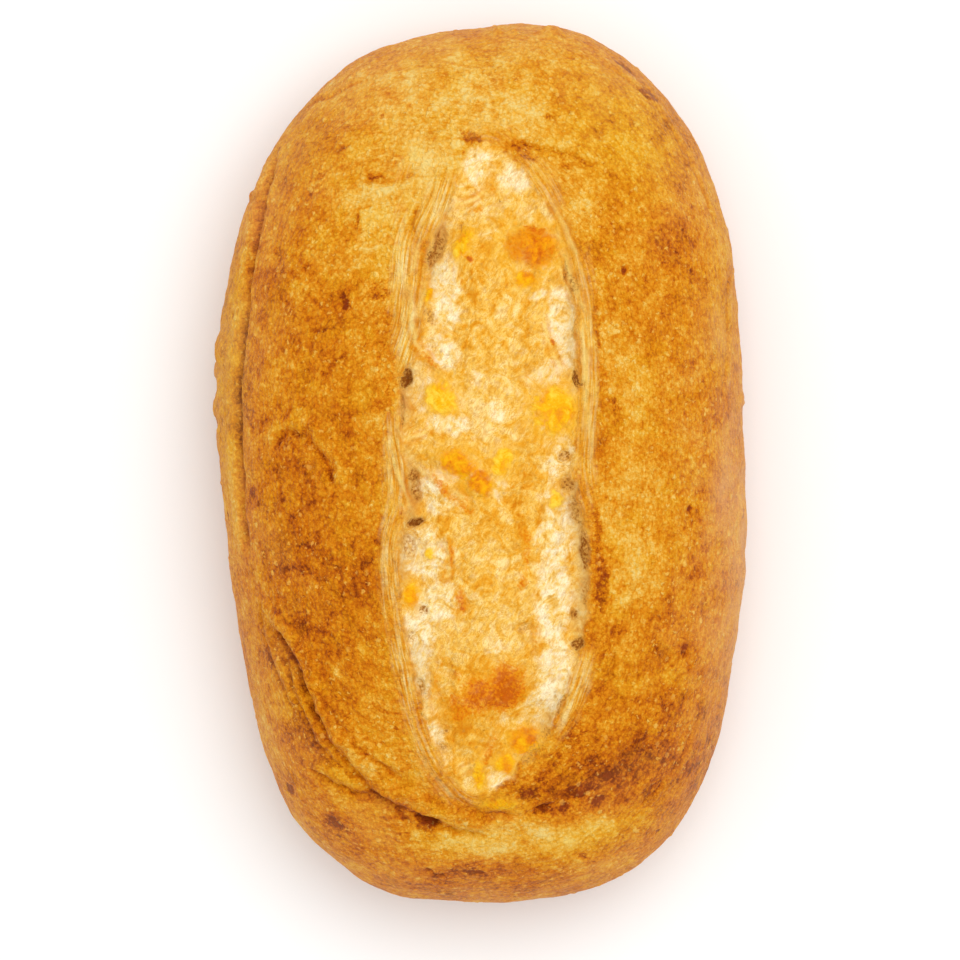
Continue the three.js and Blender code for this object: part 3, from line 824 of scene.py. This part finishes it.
def shape_loaf():
    """The skin with all its features, from the broad ones to the fine."""
    skin = make_skin()
    rows, columns = CELLS_ALONG + 1, CELLS_ACROSS + 1
    find_slash(skin)
    shape_swells(skin)
    shape_ledge(skin)
    shape_slash(skin)
    shape_bands(skin)
    shape_folds(skin)
    shape_bits(skin)
    spot_the_sides(skin)
    tone_crust(skin)
    relief = skin.relief * smooth_step(0, 14, skin.z)
    skin.points += grid_normals(skin.rest, rows, columns) * relief[:, None]
    overhang = LIP_OVERHANG * (bell(skin.edge - 0.4, 1.8) - bell(skin.edge + 3.0, 1.6))
    skin.points[:, 0] -= skin.out_x * overhang
    skin.points[:, 1] -= skin.out_y * overhang
    roughen(skin, rows, columns)
    return skin


# ---------------------------------------------------------------- mesh

def border_loop(cells_across, cells_along):
    """Numbers of a grid's border points, counter-clockwise seen from above."""
    number = np.arange((cells_across + 1) * (cells_along + 1)).reshape(cells_along + 1, -1)
    return np.concatenate([
        number[0, :-1], number[:-1, -1], number[-1, :0:-1], number[:0:-1, 0]
    ])


def grid_quads(cells_across, cells_along):
    """Faces of a grid, facing up."""
    number = np.arange((cells_across + 1) * (cells_along + 1)).reshape(cells_along + 1, -1)
    corners = (number[:-1, :-1], number[:-1, 1:], number[1:, 1:], number[1:, :-1])
    return np.stack([corner.ravel() for corner in corners], axis=1)


def make_foot():
    """Points of the foot: nearly flat, with shallow dents where the dough bridged the tray."""
    across, along = CELLS_ACROSS // FOOT_COARSENESS, CELLS_ALONG // FOOT_COARSENESS
    share, angle = (part.ravel() for part in disc_grid(across, along))
    radius = FOOT_INSET * FOOT_RATIO * share ** 1.05 * plan_radius(angle)
    points = np.column_stack([
        HALF_WIDTH * radius * np.cos(angle),
        HALF_LENGTH * radius * np.sin(angle),
        np.zeros_like(radius),
    ])
    dents = smooth_step(0.15, 0.9, NOISE.layered(points + 500, 17, 3))
    grain = 0.5 + 0.5 * NOISE.layered(points + 520, 2.6, 2)
    inner = smooth_step(1.0, 0.94, share)
    points[:, 2] = (0.9 * dents + 0.12 * np.clip(grain, 0, 1)) * inner
    return points, across, along


def stitch(fine, coarse):
    """Triangles, facing down, between the skin's border and the foot's coarser one."""
    faces = []
    span = FOOT_COARSENESS
    half = span // 2
    for i, inner in enumerate(coarse):
        inner_next = coarse[(i + 1) % len(coarse)]
        outer = [fine[(span * i + k) % len(fine)] for k in range(span + 1)]
        for k in range(span):
            corner = inner if k < half else inner_next
            faces.append((outer[k + 1], outer[k], corner))
        faces.append((inner_next, outer[half], inner))
    return faces


def unrolled(skin):
    """Places on the flat for the skin, by arc length out from the crown, so little is stretched."""
    radius = skin.arc / skin.arc.max()
    places = np.column_stack([radius * np.cos(skin.angle), radius * np.sin(skin.angle)])
    return SKIN_MAP_MIDDLE + places * SKIN_MAP_SCALE


def fit_to_cad(points):
    """From millimetres round the loaf's own middle to metres in the CAD loaf's box."""
    low, high = points.min(axis=0), points.max(axis=0)
    return LOAF_LOW + (points - low) / (high - low) * (LOAF_HIGH - LOAF_LOW)


def map_flat(mesh, skin, points, skin_corners):
    """The flat map: the unrolled skin and, beside it, the foot in plan."""
    corners = np.zeros(len(mesh.loops), dtype=np.int32)
    mesh.loops.foreach_get("vertex_index", corners)
    foot_plan = points[:, :2] / (LOAF_HIGH - LOAF_LOW)[:2]
    foot_places = FOOT_MAP_MIDDLE + foot_plan * FOOT_MAP_SCALE
    places = foot_places[corners]
    places[:skin_corners] = unrolled(skin)[corners[:skin_corners]]
    mesh.uv_layers.new(name="OFBake").data.foreach_set("uv", places.ravel())


def store_masks(mesh, masks, foot_points):
    """The masks as values on the mesh's points: the skin's own, and none on the foot but foot."""
    masks["foot"] = np.zeros(len(masks["bake"]))
    for name, values in masks.items():
        under = np.full(foot_points, 1.0 if name == "foot" else 0.0)
        layer = mesh.attributes.new(name, "FLOAT", "POINT")
        layer.data.foreach_set("value", np.concatenate([values, under]).astype(np.float32))


def build_loaf():
    """The skin and the foot as one closed mesh, with its map and its masks."""
    skin = shape_loaf()
    foot, foot_across, foot_along = make_foot()
    first_foot = len(skin.points)
    quads = grid_quads(CELLS_ACROSS, CELLS_ALONG)
    foot_quads = grid_quads(foot_across, foot_along)[:, ::-1] + first_foot
    seam = stitch(
        border_loop(CELLS_ACROSS, CELLS_ALONG).tolist(),
        (border_loop(foot_across, foot_along) + first_foot).tolist(),
    )
    points = fit_to_cad(np.vstack([skin.points, foot]))
    mesh = bpy.data.meshes.new("loaf_baked")
    mesh.from_pydata(points.tolist(), [], quads.tolist() + foot_quads.tolist() + seam)
    mesh.shade_smooth()
    map_flat(mesh, skin, points, quads.size)
    store_masks(mesh, skin.masks, len(foot))
    mesh.update()
    loaf = bpy.data.objects.new("baked_loaf", mesh)
    bpy.context.scene.collection.objects.link(loaf)
    return loaf


# ---------------------------------------------------------------- materials

def linear(red, green, blue):
    """A colour given as 0-255 screen values, as the linear colour that sockets take."""
    def channel(value):
        value = value / 255
        return value / 12.92 if value <= 0.04045 else ((value + 0.055) / 1.055) ** 2.4
    return (channel(red), channel(green), channel(blue), 1.0)


class Shader:
    """Short ways to add nodes to a material."""

    def __init__(self, name):
        self.material = bpy.data.materials.new(name)
        self.material.use_nodes = True
        self.nodes = self.material.node_tree.nodes
        self.links = self.material.node_tree.links
        self.surface = self.nodes["Principled BSDF"]

    def put(self, socket, value):
        """Links another node's socket to this one, or sets this one to a fixed value."""
        if isinstance(value, bpy.types.NodeSocket):
            self.links.new(value, socket)
        else:
            socket.default_value = value

    def fill(self, node, *values):
        """Puts the values on a node's first sockets, and gives its first output."""
        for socket, value in zip(node.inputs, values):
            self.put(socket, value)
        return node.outputs[0]

    def coordinates(self):
        """Object coordinates in millimetres."""
        source = self.nodes.new("ShaderNodeTexCoord")
        return self.vector("MULTIPLY", source.outputs["Object"], (1 / MM, 1 / MM, 1 / MM))

    def mask(self, name):
        """The values that the loaf's points store under a name."""
        node = self.nodes.new("ShaderNodeAttribute")
        node.attribute_name = name
        return node.outputs["Fac"]

    def noise(self, place, size, detail=3.0, roughness=0.55, distortion=0.0):
        """Smooth noise, 0 to 1, with features of a size in millimetres."""
        node = self.nodes.new("ShaderNodeTexNoise")
        values = (place, 1 / size, detail, roughness, distortion)
        for name, value in zip(("Vector", "Scale", "Detail", "Roughness", "Distortion"), values):
            self.put(node.inputs[name], value)
        return node.outputs["Fac"]

    def cells(self, place, size):
        """Distance from scattered points, and each one's own random colour."""
        node = self.nodes.new("ShaderNodeTexVoronoi")
        self.put(node.inputs["Vector"], place)
        self.put(node.inputs["Scale"], 1 / size)
        return node.outputs["Distance"], node.outputs["Color"]

    def joined(self, x, y, z=0.0):
        """One vector from three numbers."""
        return self.fill(self.nodes.new("ShaderNodeCombineXYZ"), x, y, z)

    def turned(self, place, degrees, stretch):
        """The place seen along a line turned in plan, drawn out along it."""
        node = self.nodes.new("ShaderNodeMapping")
        node.vector_type = "TEXTURE"
        self.put(node.inputs["Vector"], place)
        self.put(node.inputs["Rotation"], (0, 0, math.radians(degrees)))
        self.put(node.inputs["Scale"], (1, stretch, 1))
        return node.outputs[0]

    def vector(self, operation, first, second):
        """One operation on two vectors."""
        node = self.nodes.new("ShaderNodeVectorMath")
        node.operation = operation
        return self.fill(node, first, second)

    def math(self, operation, *values, clamp=False):
        """One operation on one to three numbers."""
        node = self.nodes.new("ShaderNodeMath")
        node.operation = operation
        node.use_clamp = clamp
        return self.fill(node, *values)

    def times(self, first, second):
        return self.math("MULTIPLY", first, second)

    def plus(self, base, extra, amount=1.0, clamp=False):
        """The base and an amount of something more."""
        return self.math("MULTIPLY_ADD", extra, amount, base, clamp=clamp)

    def most(self, first, second):
        return self.math("MAXIMUM", first, second)

    def span(self, value, low, high, to_low=0.0, to_high=1.0):
        """Smoothly from one number at low to another at high."""
        node = self.nodes.new("ShaderNodeMapRange")
        node.interpolation_type = "SMOOTHSTEP"
        return self.fill(node, value, low, high, to_low, to_high)

    def ramp(self, value, stops):
        """A colour that changes with a value: position and 0-255 screen colour of each stop."""
        node = self.nodes.new("ShaderNodeValToRGB")
        self.put(node.inputs["Fac"], value)
        elements = node.color_ramp.elements
        while len(elements) < len(stops):
            elements.new(1.0)
        for element, (position, colour) in zip(elements, stops):
            element.position = position
            element.color = linear(*colour)
        return node.outputs["Color"]

    def mix(self, share, first, second):
        """A colour between two, by number of socket: factor, then the two colours."""
        node = self.nodes.new("ShaderNodeMix")
        node.data_type = "RGBA"
        for number, value in ((0, share), (6, first), (7, second)):
            self.put(node.inputs[number], value)
        return node.outputs[2]


def showing(shader, name, level, shown, within=(0.0, 0.25)):
    """How much of a layer shows: by its roughened level, and only where its mask is."""
    return shader.times(shader.span(level, *shown), shader.span(shader.mask(name), *within))


def crust_bake(shader, place, grain, fleck, spot):
    """How far the crust is baked, 0 to 1: mottled, wrinkled and freckled, with painted shade in the
    creases and a painted highlight on their ridges.
    """
    bake = shader.mask("bake")
    flat = shader.vector("MULTIPLY", place, (0.45, 0.45, 0.45))
    round_loaf = shader.vector("ADD", flat, shader.joined(shader.mask("arc"), 0.0))
    # Mottling, coarse to fine: place, size, detail, roughness, amount
    layers = (
        (place, 9.0, 3, 0.5, 0.6), (place, 3.4, 6, 0.72, 0.75), (round_loaf, 1.4, 3, 0.6, 0.45),
        (place, 0.7, 2, 0.6, 0.36),
    )
    for where, size, detail, roughness, amount in layers:
        noise = shader.noise(where, size, detail, roughness, 0.4)
        bake = shader.plus(shader.math("SUBTRACT", bake, amount / 2), noise, amount)
    bake = shader.plus(bake, shader.math("SUBTRACT", grain, 0.42), 0.4)
    bake = shader.plus(bake, fleck, -0.22)
    bake = shader.plus(bake, thin_lines(shader, round_loaf, 7.0, 1.6, 0.014), 0.12)
    bake = shader.plus(bake, spot, 0.42)
    # Painted shade in the creases and painted highlight on their ridges; blisters are paler crust
    for name, amount in (("crease", 0.34), ("ridge", -0.24), ("blister", -0.16)):
        bake = shader.plus(bake, shader.mask(name), amount)
    return bake


def crust_colour(shader, place):
    """Golden to dark brown with how far it is baked, with gold patches, flecks and spots, and the steep
    sides' pale pinkish tone, partly painted sheen.
    """
    grain, fleck = grains(shader, place)
    torn_edge = shader.span(shader.noise(place, 1.8, 4, 0.7), 0.3, 0.7, -0.3, 0.3)
    ragged = shader.plus(shader.mask("spot"), torn_edge)
    spot = showing(shader, "spot", ragged, (0.05, 1.1), (0.02, 0.4))
    bake = crust_bake(shader, place, grain, fleck, spot)
    brown = shader.ramp(bake, [
        (0.0, (244, 210, 124)), (0.22, (240, 182, 70)), (0.42, (230, 152, 28)),
        (0.60, (217, 126, 4)), (0.80, (188, 92, 0)), (1.0, (128, 50, 0)),
    ])
    yellow = shader.ramp(bake, [
        (0.0, (246, 204, 86)), (0.35, (234, 166, 10)), (0.62, (214, 134, 0)), (1.0, (130, 60, 0)),
    ])
    patchy_gold = shader.span(shader.noise(place, 8.0, 4, 0.6, 0.8), 0.46, 0.66, 0.0, 0.4)
    colour = shader.mix(shader.most(shader.mask("gold"), patchy_gold), brown, yellow)
    colour = shader.mix(shader.times(fleck, 0.36), colour, linear(248, 202, 104))
    colour = shader.mix(shader.span(spot, 0.45, 1.0, 0.0, 0.6), colour, linear(150, 58, 12))
    # The steep sides' pale pinkish tone: partly their paler bake, partly painted sheen
    return shader.mix(shader.mask("side"), colour, linear(236, 182, 126))


def grains(shader, place):
    """A fine leathery grain, 0 at each grain's middle, and the pale flecks among the grains."""
    loose = shader.joined(shader.noise(place, 0.9, 2), shader.noise(place, 1.3, 2))
    moved = shader.vector("ADD", place, shader.vector("MULTIPLY", loose, (2.4, 2.4, 0.0)))
    grain = shader.cells(moved, 1.2)[0]
    flecks = 0.0
    for size, rarity, widest in ((1.5, 0.35, 0.46), (3.0, 0.25, 0.38)):
        distance, chance = shader.cells(moved, size)
        reach = shader.span(chance, rarity, 1.0, 0.0, widest)
        inside = shader.span(shader.math("SUBTRACT", reach, distance), 0.0, 0.16)
        flecks = shader.most(inside, flecks)
    cluster = shader.span(shader.noise(place, 14, 3), 0.36, 0.6, 0.4, 1.0)
    return grain, shader.times(flecks, cluster)


def lip_strands(shader):
    """Fine strands that run along the slash's edge, 0 to 1."""
    across = shader.times(shader.mask("edge"), 1.1)
    along = shader.times(shader.mask("along"), 0.06)
    fine = shader.noise(shader.joined(across, along), 0.8, 3, 0.65)
    return shader.plus(fine, shader.mask("streak"), 0.14)


def lip_colour(shader, strands):
    """Brown between the strands, pale golden on them."""
    return shader.ramp(strands, [
        (0.30, (216, 124, 6)), (0.42, (238, 166, 44)), (0.50, (247, 198, 92)), (0.62, (253, 228, 152)),
    ])


def thin_lines(shader, place, size, distortion, width):
    """Fine meandering lines, 1 on a line and 0 off it."""
    noise = shader.noise(place, size, 3, 0.5, distortion)
    return shader.span(shader.math("ABSOLUTE", shader.math("SUBTRACT", noise, 0.5)), width, 0.0)


def inside_colour(shader, place):
    """Thin golden crust over cream crumb, with torn fibres and pores, and painted shade on the torn
    walls.
    """
    blotch = shader.noise(place, 6.0, 6, 0.66, 1.2)
    drawn = shader.turned(place, -28, 3.0)
    streak = shader.noise(drawn, 1.3, 4, 0.65, 0.8)
    tone = shader.plus(shader.math("SUBTRACT", blotch, 0.2), streak, 0.4)
    tone = shader.math("SUBTRACT", tone, shader.mask("stain"))
    island = shader.ramp(tone, [
        (0.28, (214, 126, 8)), (0.40, (232, 162, 40)), (0.52, (241, 192, 88)), (0.68, (248, 218, 144)),
    ])
    crumb = shader.ramp(tone, [
        (0.30, (222, 158, 50)), (0.40, (242, 198, 104)), (0.50, (248, 223, 160)),
        (0.60, (252, 238, 196)),
    ])
    colour = shader.mix(shader.mask("crumb"), island, crumb)
    line = shader.most(
        thin_lines(shader, place, 5.5, 2.2, 0.02), thin_lines(shader, drawn, 1.9, 1.4, 0.035)
    )
    line = shader.most(line, shader.mask("fibre"))
    line = shader.times(line, shader.span(shader.mask("crumb"), 0.0, 1.0, 0.6, 0.4))
    colour = shader.mix(line, colour, linear(210, 136, 20))
    colour = shader.mix(shader.times(shader.mask("pore"), 0.6), colour, linear(200, 142, 58))
    # Painted shade, greyish tan, on the torn walls under the slash's edge
    return shader.mix(shader.times(shader.mask("wall"), 0.62), colour, linear(200, 166, 108))


def band_colour(shader, colour):
    """Pale stretched bands with a browned line at their feet, partly painted shade."""
    colour = shader.mix(shader.times(shader.mask("band"), 0.7), colour, linear(248, 214, 122))
    # Browned line at the band's foot: partly a browned seam, partly painted shade
    return shader.mix(shader.times(shader.mask("seam"), 0.7), colour, linear(218, 130, 12))


def add_cheese(shader, colour, medium, broad):
    """Melted cheese, from yellow to orange, in a golden halo."""
    golden = shader.times(shader.mask("halo"), shader.span(medium, 0.3, 0.62, 0.15, 0.75))
    colour = shader.mix(golden, colour, linear(240, 178, 44))
    orange = shader.plus(shader.mask("cheese_tint"), shader.span(medium, 0.3, 0.7, 0.2, -0.2))
    orange = shader.plus(orange, broad, -0.7, clamp=True)
    cheese = shader.ramp(orange, [
        (0.0, (250, 210, 70)), (0.35, (244, 180, 8)), (0.7, (234, 144, 0)), (1.0, (208, 100, 0)),
    ])
    ragged = shader.plus(shader.mask("cheese"), broad)
    return shader.mix(showing(shader, "cheese", ragged, (0.05, 1.0), (0.0, 0.4)), colour, cheese)


def add_scorches(shader, colour, fine, broad):
    """Browned bubbles, darker towards their middles."""
    charred = shader.plus(shader.mask("scorch"), shader.span(fine, 0.3, 0.7, -0.2, 0.2))
    charred = shader.plus(charred, broad, 0.5)
    scorch = shader.ramp(charred, [
        (0.1, (240, 180, 62)), (0.5, (228, 148, 14)), (0.8, (220, 120, 0)), (1.0, (194, 82, 0)),
    ])
    return shader.mix(showing(shader, "scorch", charred, (0.1, 0.75, 0.0, 0.85)), colour, scorch)


def add_pits(shader, colour, fine):
    """Painted shade in pits and torn holes, from pale gold to dark brown with its darkness."""
    pit_shade = shader.plus(shader.mask("pit_shade"), shader.span(fine, 0.3, 0.7, -0.25, 0.25))
    hollow = shader.ramp(pit_shade, [(0.2, (232, 186, 100)), (0.6, (198, 142, 62)), (1.0, (138, 72, 8))])
    return shader.mix(showing(shader, "pit_shade", pit_shade, (0.2, 0.9, 0.0, 0.95)), colour, hollow)


def foot_colour(shader, place):
    """Pale floury brown where it sat on the tray."""
    return shader.ramp(shader.noise(place, 9.0, 6, 0.7), [
        (0.3, (186, 114, 36)), (0.5, (212, 151, 76)), (0.7, (229, 194, 141)),
    ])


def loaf_colour(shader, place, fine, medium, strands):
    """Crust, then the slash over it, then the bits, then the foot."""
    colour = crust_colour(shader, place)
    on_lip = shader.times(shader.mask("lip"), shader.span(medium, 0.3, 0.6, 0.5, 1.0))
    colour = shader.mix(on_lip, colour, lip_colour(shader, strands))
    in_slash = shader.times(shader.mask("island"), shader.math("SUBTRACT", 1.0, on_lip))
    colour = shader.mix(in_slash, colour, inside_colour(shader, place))
    colour = band_colour(shader, colour)
    broad = shader.span(shader.noise(place, 4.5, 4, 0.65, 0.8), 0.3, 0.7, -0.34, 0.34)
    colour = add_cheese(shader, colour, medium, broad)
    colour = add_scorches(shader, colour, fine, broad)
    colour = add_pits(shader, colour, fine)
    return shader.mix(shader.mask("foot"), colour, foot_colour(shader, place))


def loaf_roughness(shader, medium):
    """Half dull crust, duller crumb and glossier cheese."""
    dull = shader.plus(shader.span(medium, 0.3, 0.7, 0.46, 0.62), shader.mask("island"), 0.2)
    return shader.plus(dull, shader.mask("cheese"), -0.3)


def loaf_grain(shader, place, fine, strands):
    """Relief too fine for the mesh, as a normal: leathery crust, crumb and strands."""
    grain, fleck = grains(shader, place)
    rough = shader.plus(shader.plus(fine, fleck, 0.3), grain, -0.6)
    rough = shader.plus(rough, shader.noise(place, 0.45, 2, 0.5), 0.5)
    height = shader.times(rough, shader.span(shader.mask("island"), 0.0, 1.0, 1.0, 0.45))
    height = shader.plus(height, strands, shader.times(shader.mask("lip"), 0.9))
    bump = shader.nodes.new("ShaderNodeBump")
    shader.put(bump.inputs["Strength"], 0.8)
    shader.put(bump.inputs["Distance"], 0.9 * MM)
    shader.put(bump.inputs["Height"], height)
    return bump.outputs[0]


def loaf_material():
    """One material for the whole loaf, which its masks tell what lies where."""
    shader = Shader("baked_loaf")
    place = shader.coordinates()
    fine = shader.noise(place, 0.9, 3, 0.6)
    medium = shader.noise(place, 3.0, 4, 0.6)
    strands = lip_strands(shader)
    surface = {
        "Base Color": loaf_colour(shader, place, fine, medium, strands),
        "Roughness": loaf_roughness(shader, medium),
        "Normal": loaf_grain(shader, place, fine, strands),
        "Specular IOR Level": 0.08,
        "Sheen Weight": 0.1,
        "Sheen Roughness": 0.15,
        "Sheen Tint": (1.0, 0.86, 0.78, 1.0),
    }
    for name, value in surface.items():
        shader.put(shader.surface.inputs[name], value)
    return shader.material


# ---------------------------------------------------------------- setting

def build_floor():
    """A plain pale floor under the loaf."""
    half = 0.5 * FLOOR_SIZE
    mesh = bpy.data.meshes.new("floor")
    corners = [(-half, -half), (half, -half), (half, half), (-half, half)]
    mesh.from_pydata([(x, y, float(LOAF_LOW[2])) for x, y in corners], [], [(0, 1, 2, 3)])
    shader = Shader("pale_floor")
    shader.put(shader.surface.inputs["Base Color"], (0.95, 0.95, 0.95, 1))
    shader.put(shader.surface.inputs["Roughness"], 0.9)
    shader.put(shader.surface.inputs["Specular IOR Level"], 0.1)
    mesh.materials.append(shader.material)
    floor = bpy.data.objects.new("floor", mesh)
    bpy.context.scene.collection.objects.link(floor)


def add_area_light(name, place, size, power):
    """A round light that faces the loaf."""
    data = bpy.data.lights.new(name, "AREA")
    data.shape = "DISK"
    data.size = size
    data.energy = power
    light = bpy.data.objects.new(name, data)
    light.location = place
    light.rotation_euler = (-Vector(place)).to_track_quat("-Z", "Y").to_euler()
    bpy.context.scene.collection.objects.link(light)


def light_scene():
    """Soft white light from all round, and a little more from above."""
    world = bpy.data.worlds.new("studio")
    world.use_nodes = True
    background = world.node_tree.nodes["Background"]
    background.inputs["Color"].default_value = (1.0, 1.0, 0.99, 1)
    background.inputs["Strength"].default_value = SKY_STRENGTH
    bpy.context.scene.world = world
    add_area_light("overhead", LIGHT_PLACE, LIGHT_SIZE, LIGHT_POWER)
    bpy.context.scene.view_settings.view_transform = "Standard"


def add_camera():
    """Straight down on the loaf, with the lens that frames it as the photograph does."""
    centre = 0.5 * (LOAF_LOW + LOAF_HIGH)
    length = LOAF_HIGH[1] - LOAF_LOW[1]
    frame_width = length * FRAME_OVER_LOAF
    data = bpy.data.cameras.new("camera")
    data.sensor_width = SENSOR_WIDTH
    data.lens = SENSOR_WIDTH * CAMERA_AWAY / frame_width
    camera = bpy.data.objects.new("camera", data)
    waist = LOAF_LOW[2] + WAIST_HEIGHT * MM
    camera.location = (centre[0], centre[1] - CAMERA_DOWN, waist + CAMERA_AWAY)
    bpy.context.scene.collection.objects.link(camera)
    bpy.context.scene.camera = camera


add_camera()
light_scene()
build_floor()

loaf = build_loaf()
loaf.data.materials.append(loaf_material())
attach(loaf, "root")
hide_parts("loaf")
